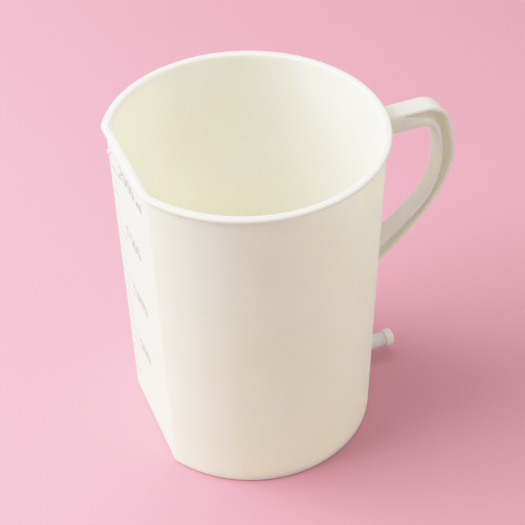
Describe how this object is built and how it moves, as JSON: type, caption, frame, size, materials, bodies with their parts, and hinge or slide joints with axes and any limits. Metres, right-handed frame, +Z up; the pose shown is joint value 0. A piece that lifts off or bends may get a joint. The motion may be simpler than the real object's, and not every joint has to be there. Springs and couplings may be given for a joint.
{
  "type": "feeding and measuring jug",
  "caption": "Open drafted cup with one flat graduated side, a bead round the rim, an I-section strap handle and a small hose outlet low on the wall for gravity feeding.",
  "frame": {"origin": "centre of the foot on the axis of the round wall, on the surface that the jug stands on", "axes": "+Z up out of the open mouth, +X towards the handle and the hose outlet, -X towards the flat graduated side"},
  "size_m": [0.1773, 0.14, 0.182],
  "materials": {
    "jug_plastic": "satin natural ivory polypropylene, faintly translucent"
  },
  "bodies": {
    "root": {"foot_ring": "jug_plastic", "floor": "jug_plastic", "cup_wall": "jug_plastic", "scale_panel": "jug_plastic", "rim_bead": "jug_plastic", "handle_upper_root": "jug_plastic", "handle_inner_flange": "jug_plastic", "handle_outer_flange": "jug_plastic", "handle_web": "jug_plastic", "outlet_shank": "jug_plastic", "outlet_lip": "jug_plastic", "scale_long_marks": "jug_plastic", "scale_short_marks": "jug_plastic", "scale_numerals": "jug_plastic", "scale_unit": "jug_plastic", "brim_mark": "jug_plastic"}
  },
  "joints": []
}
